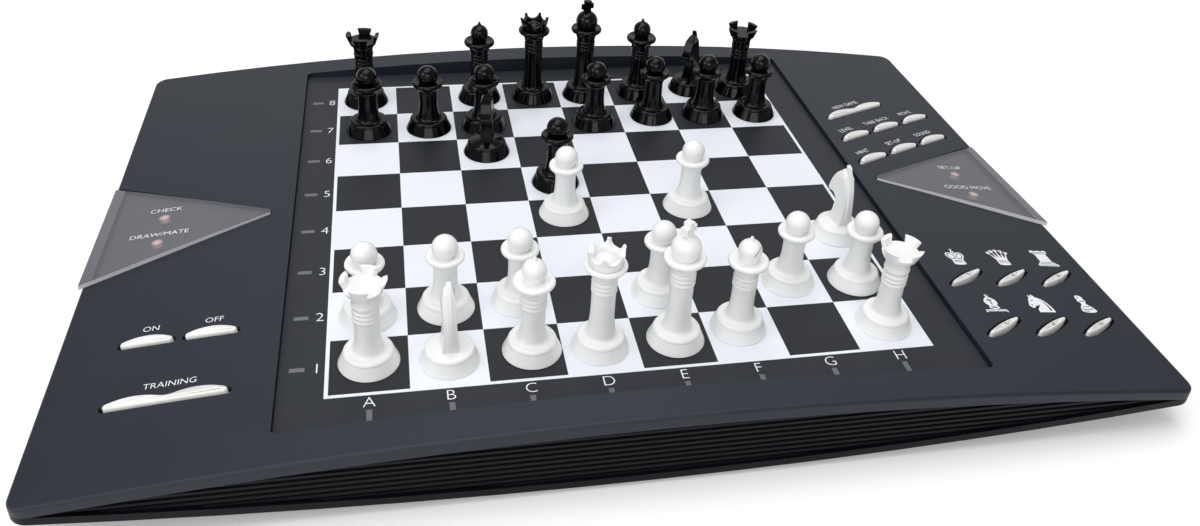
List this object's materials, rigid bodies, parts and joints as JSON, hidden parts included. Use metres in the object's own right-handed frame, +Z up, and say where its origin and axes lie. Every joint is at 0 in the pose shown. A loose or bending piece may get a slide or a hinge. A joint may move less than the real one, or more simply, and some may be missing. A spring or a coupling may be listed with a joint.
{
  "type": "electronic chess computer",
  "caption": "Low lens-shaped chess computer with a sunken sensor board, ribbed ends, side key groups, triangular indicator windows and loose pieces in mid-game.",
  "frame": {"origin": "middle of the plan, on the level that the rubber feet stand on", "axes": "+X to the player's right along the long side, +Y from the player to the back, +Z up"},
  "size_m": [0.3588, 0.2452, 0.0667],
  "materials": {
    "charcoal_cover": "fine matte grain",
    "black_ribs": "satin",
    "printed_film": "smooth satin film",
    "clear_sheet": "smooth",
    "smoky_window": "polished",
    "board_green": "satin lacquer",
    "grey_rubber": "matte",
    "speaker_black": "satin",
    "cell_sleeve": "gloss sleeve",
    "screw_steel": "zinc plated",
    "foot_rubber": "matte",
    "ivory_key": "satin",
    "white_piece": "satin gloss",
    "black_piece": "gloss"
  },
  "bodies": {
    "housing": {"top_cover": "charcoal_cover", "bottom_cover": "black_ribs", "board_film": "printed_film", "sensor_membrane": "clear_sheet", "indicator_windows": "smoky_window", "circuit_boards": "board_green", "key_mats": "grey_rubber", "speaker": "speaker_black", "battery_cells": "cell_sleeve", "housing_screws": "screw_steel", "rubber_feet": "foot_rubber"},
    "battery_door": {"battery_door": "black_ribs"},
    "key_on": {"key_on": "ivory_key"},
    "key_off": {"key_off": "ivory_key"},
    "key_training": {"key_training": "ivory_key"},
    "key_hint": {"key_hint": "ivory_key"},
    "key_set_up": {"key_set_up": "ivory_key"},
    "key_sound": {"key_sound": "ivory_key"},
    "key_level": {"key_level": "ivory_key"},
    "key_take_back": {"key_take_back": "ivory_key"},
    "key_move": {"key_move": "ivory_key"},
    "key_new_game": {"key_new_game": "ivory_key"},
    "key_king": {"key_king": "ivory_key"},
    "key_queen": {"key_queen": "ivory_key"},
    "key_rook": {"key_rook": "ivory_key"},
    "key_bishop": {"key_bishop": "ivory_key"},
    "key_knight": {"key_knight": "ivory_key"},
    "key_pawn": {"key_pawn": "ivory_key"},
    "white_rook_a1": {"white_rook_a1": "white_piece"},
    "white_knight_b1": {"white_knight_b1": "white_piece"},
    "white_bishop_c1": {"white_bishop_c1": "white_piece"},
    "white_queen_d1": {"white_queen_d1": "white_piece"},
    "white_king_e1": {"white_king_e1": "white_piece"},
    "white_bishop_f1": {"white_bishop_f1": "white_piece"},
    "white_rook_h1": {"white_rook_h1": "white_piece"},
    "white_pawn_a2": {"white_pawn_a2": "white_piece"},
    "white_pawn_b2": {"white_pawn_b2": "white_piece"},
    "white_pawn_c2": {"white_pawn_c2": "white_piece"},
    "white_pawn_e2": {"white_pawn_e2": "white_piece"},
    "white_pawn_g2": {"white_pawn_g2": "white_piece"},
    "white_pawn_h2": {"white_pawn_h2": "white_piece"},
    "white_knight_h3": {"white_knight_h3": "white_piece"},
    "white_pawn_d4": {"white_pawn_d4": "white_piece"},
    "white_pawn_f4": {"white_pawn_f4": "white_piece"},
    "black_rook_a8": {"black_rook_a8": "black_piece"},
    "black_bishop_c8": {"black_bishop_c8": "black_piece"},
    "black_queen_d8": {"black_queen_d8": "black_piece"},
    "black_king_e8": {"black_king_e8": "black_piece"},
    "black_bishop_f8": {"black_bishop_f8": "black_piece"},
    "black_knight_g8": {"black_knight_g8": "black_piece"},
    "black_rook_h8": {"black_rook_h8": "black_piece"},
    "black_pawn_a7": {"black_pawn_a7": "black_piece"},
    "black_pawn_b7": {"black_pawn_b7": "black_piece"},
    "black_pawn_c7": {"black_pawn_c7": "black_piece"},
    "black_pawn_e7": {"black_pawn_e7": "black_piece"},
    "black_pawn_f7": {"black_pawn_f7": "black_piece"},
    "black_pawn_g7": {"black_pawn_g7": "black_piece"},
    "black_pawn_h7": {"black_pawn_h7": "black_piece"},
    "black_knight_c6": {"black_knight_c6": "black_piece"},
    "black_pawn_d5": {"black_pawn_d5": "black_piece"}
  },
  "joints": [
    {"name": "press_on", "type": "slide", "parent": "housing", "child": "key_on", "axis": [0.1072, 0, -0.9942], "range_m": [0, 0.001], "stiffness_N_per_m": 300, "springref_m": -0.0006},
    {"name": "press_off", "type": "slide", "parent": "housing", "child": "key_off", "axis": [0.0935, 0, -0.9956], "range_m": [0, 0.001], "stiffness_N_per_m": 300, "springref_m": -0.0006},
    {"name": "press_training", "type": "slide", "parent": "housing", "child": "key_training", "axis": [0.1003, 0, -0.995], "range_m": [0, 0.001], "stiffness_N_per_m": 300, "springref_m": -0.0006},
    {"name": "press_hint", "type": "slide", "parent": "housing", "child": "key_hint", "axis": [-0.0884, 0, -0.9961], "range_m": [0, 0.001], "stiffness_N_per_m": 300, "springref_m": -0.0006},
    {"name": "press_set_up", "type": "slide", "parent": "housing", "child": "key_set_up", "axis": [-0.1015, 0, -0.9948], "range_m": [0, 0.001], "stiffness_N_per_m": 300, "springref_m": -0.0006},
    {"name": "press_sound", "type": "slide", "parent": "housing", "child": "key_sound", "axis": [-0.1145, 0, -0.9934], "range_m": [0, 0.001], "stiffness_N_per_m": 300, "springref_m": -0.0006},
    {"name": "press_level", "type": "slide", "parent": "housing", "child": "key_level", "axis": [-0.0884, 0, -0.9961], "range_m": [0, 0.001], "stiffness_N_per_m": 300, "springref_m": -0.0006},
    {"name": "press_take_back", "type": "slide", "parent": "housing", "child": "key_take_back", "axis": [-0.1015, 0, -0.9948], "range_m": [0, 0.001], "stiffness_N_per_m": 300, "springref_m": -0.0006},
    {"name": "press_move", "type": "slide", "parent": "housing", "child": "key_move", "axis": [-0.1145, 0, -0.9934], "range_m": [0, 0.001], "stiffness_N_per_m": 300, "springref_m": -0.0006},
    {"name": "press_new_game", "type": "slide", "parent": "housing", "child": "key_new_game", "axis": [-0.0948, 0, -0.9955], "range_m": [0, 0.001], "stiffness_N_per_m": 300, "springref_m": -0.0006},
    {"name": "press_king", "type": "slide", "parent": "housing", "child": "key_king", "axis": [-0.0884, 0, -0.9961], "range_m": [0, 0.001], "stiffness_N_per_m": 300, "springref_m": -0.0006},
    {"name": "press_queen", "type": "slide", "parent": "housing", "child": "key_queen", "axis": [-0.1015, 0, -0.9948], "range_m": [0, 0.001], "stiffness_N_per_m": 300, "springref_m": -0.0006},
    {"name": "press_rook", "type": "slide", "parent": "housing", "child": "key_rook", "axis": [-0.1145, 0, -0.9934], "range_m": [0, 0.001], "stiffness_N_per_m": 300, "springref_m": -0.0006},
    {"name": "press_bishop", "type": "slide", "parent": "housing", "child": "key_bishop", "axis": [-0.0884, 0, -0.9961], "range_m": [0, 0.001], "stiffness_N_per_m": 300, "springref_m": -0.0006},
    {"name": "press_knight", "type": "slide", "parent": "housing", "child": "key_knight", "axis": [-0.1015, 0, -0.9948], "range_m": [0, 0.001], "stiffness_N_per_m": 300, "springref_m": -0.0006},
    {"name": "press_pawn", "type": "slide", "parent": "housing", "child": "key_pawn", "axis": [-0.1145, 0, -0.9934], "range_m": [0, 0.001], "stiffness_N_per_m": 300, "springref_m": -0.0006},
    {"name": "lift_white_rook_a1", "type": "slide", "parent": "housing", "child": "white_rook_a1", "axis": [0, 0, 1], "range_m": [0, 0.06]},
    {"name": "lift_white_knight_b1", "type": "slide", "parent": "housing", "child": "white_knight_b1", "axis": [0, 0, 1], "range_m": [0, 0.06]},
    {"name": "lift_white_bishop_c1", "type": "slide", "parent": "housing", "child": "white_bishop_c1", "axis": [0, 0, 1], "range_m": [0, 0.06]},
    {"name": "lift_white_queen_d1", "type": "slide", "parent": "housing", "child": "white_queen_d1", "axis": [0, 0, 1], "range_m": [0, 0.06]},
    {"name": "lift_white_king_e1", "type": "slide", "parent": "housing", "child": "white_king_e1", "axis": [0, 0, 1], "range_m": [0, 0.06]},
    {"name": "lift_white_bishop_f1", "type": "slide", "parent": "housing", "child": "white_bishop_f1", "axis": [0, 0, 1], "range_m": [0, 0.06]},
    {"name": "lift_white_rook_h1", "type": "slide", "parent": "housing", "child": "white_rook_h1", "axis": [0, 0, 1], "range_m": [0, 0.06]},
    {"name": "lift_white_pawn_a2", "type": "slide", "parent": "housing", "child": "white_pawn_a2", "axis": [0, 0, 1], "range_m": [0, 0.06]},
    {"name": "lift_white_pawn_b2", "type": "slide", "parent": "housing", "child": "white_pawn_b2", "axis": [0, 0, 1], "range_m": [0, 0.06]},
    {"name": "lift_white_pawn_c2", "type": "slide", "parent": "housing", "child": "white_pawn_c2", "axis": [0, 0, 1], "range_m": [0, 0.06]},
    {"name": "lift_white_pawn_e2", "type": "slide", "parent": "housing", "child": "white_pawn_e2", "axis": [0, 0, 1], "range_m": [0, 0.06]},
    {"name": "lift_white_pawn_g2", "type": "slide", "parent": "housing", "child": "white_pawn_g2", "axis": [0, 0, 1], "range_m": [0, 0.06]},
    {"name": "lift_white_pawn_h2", "type": "slide", "parent": "housing", "child": "white_pawn_h2", "axis": [0, 0, 1], "range_m": [0, 0.06]},
    {"name": "lift_white_knight_h3", "type": "slide", "parent": "housing", "child": "white_knight_h3", "axis": [0, 0, 1], "range_m": [0, 0.06]},
    {"name": "lift_white_pawn_d4", "type": "slide", "parent": "housing", "child": "white_pawn_d4", "axis": [0, 0, 1], "range_m": [0, 0.06]},
    {"name": "lift_white_pawn_f4", "type": "slide", "parent": "housing", "child": "white_pawn_f4", "axis": [0, 0, 1], "range_m": [0, 0.06]},
    {"name": "lift_black_rook_a8", "type": "slide", "parent": "housing", "child": "black_rook_a8", "axis": [0, 0, 1], "range_m": [0, 0.06]},
    {"name": "lift_black_bishop_c8", "type": "slide", "parent": "housing", "child": "black_bishop_c8", "axis": [0, 0, 1], "range_m": [0, 0.06]},
    {"name": "lift_black_queen_d8", "type": "slide", "parent": "housing", "child": "black_queen_d8", "axis": [0, 0, 1], "range_m": [0, 0.06]},
    {"name": "lift_black_king_e8", "type": "slide", "parent": "housing", "child": "black_king_e8", "axis": [0, 0, 1], "range_m": [0, 0.06]},
    {"name": "lift_black_bishop_f8", "type": "slide", "parent": "housing", "child": "black_bishop_f8", "axis": [0, 0, 1], "range_m": [0, 0.06]},
    {"name": "lift_black_knight_g8", "type": "slide", "parent": "housing", "child": "black_knight_g8", "axis": [0, 0, 1], "range_m": [0, 0.06]},
    {"name": "lift_black_rook_h8", "type": "slide", "parent": "housing", "child": "black_rook_h8", "axis": [0, 0, 1], "range_m": [0, 0.06]},
    {"name": "lift_black_pawn_a7", "type": "slide", "parent": "housing", "child": "black_pawn_a7", "axis": [0, 0, 1], "range_m": [0, 0.06]},
    {"name": "lift_black_pawn_b7", "type": "slide", "parent": "housing", "child": "black_pawn_b7", "axis": [0, 0, 1], "range_m": [0, 0.06]},
    {"name": "lift_black_pawn_c7", "type": "slide", "parent": "housing", "child": "black_pawn_c7", "axis": [0, 0, 1], "range_m": [0, 0.06]},
    {"name": "lift_black_pawn_e7", "type": "slide", "parent": "housing", "child": "black_pawn_e7", "axis": [0, 0, 1], "range_m": [0, 0.06]},
    {"name": "lift_black_pawn_f7", "type": "slide", "parent": "housing", "child": "black_pawn_f7", "axis": [0, 0, 1], "range_m": [0, 0.06]},
    {"name": "lift_black_pawn_g7", "type": "slide", "parent": "housing", "child": "black_pawn_g7", "axis": [0, 0, 1], "range_m": [0, 0.06]},
    {"name": "lift_black_pawn_h7", "type": "slide", "parent": "housing", "child": "black_pawn_h7", "axis": [0, 0, 1], "range_m": [0, 0.06]},
    {"name": "lift_black_knight_c6", "type": "slide", "parent": "housing", "child": "black_knight_c6", "axis": [0, 0, 1], "range_m": [0, 0.06]},
    {"name": "lift_black_pawn_d5", "type": "slide", "parent": "housing", "child": "black_pawn_d5", "axis": [0, 0, 1], "range_m": [0, 0.06]},
    {"name": "battery_door_hinge", "type": "hinge", "parent": "housing", "child": "battery_door", "pos_m": [0, 0.07675, 0.0023], "axis": [1, 0, 0], "range_deg": [0, 90]}
  ]
}
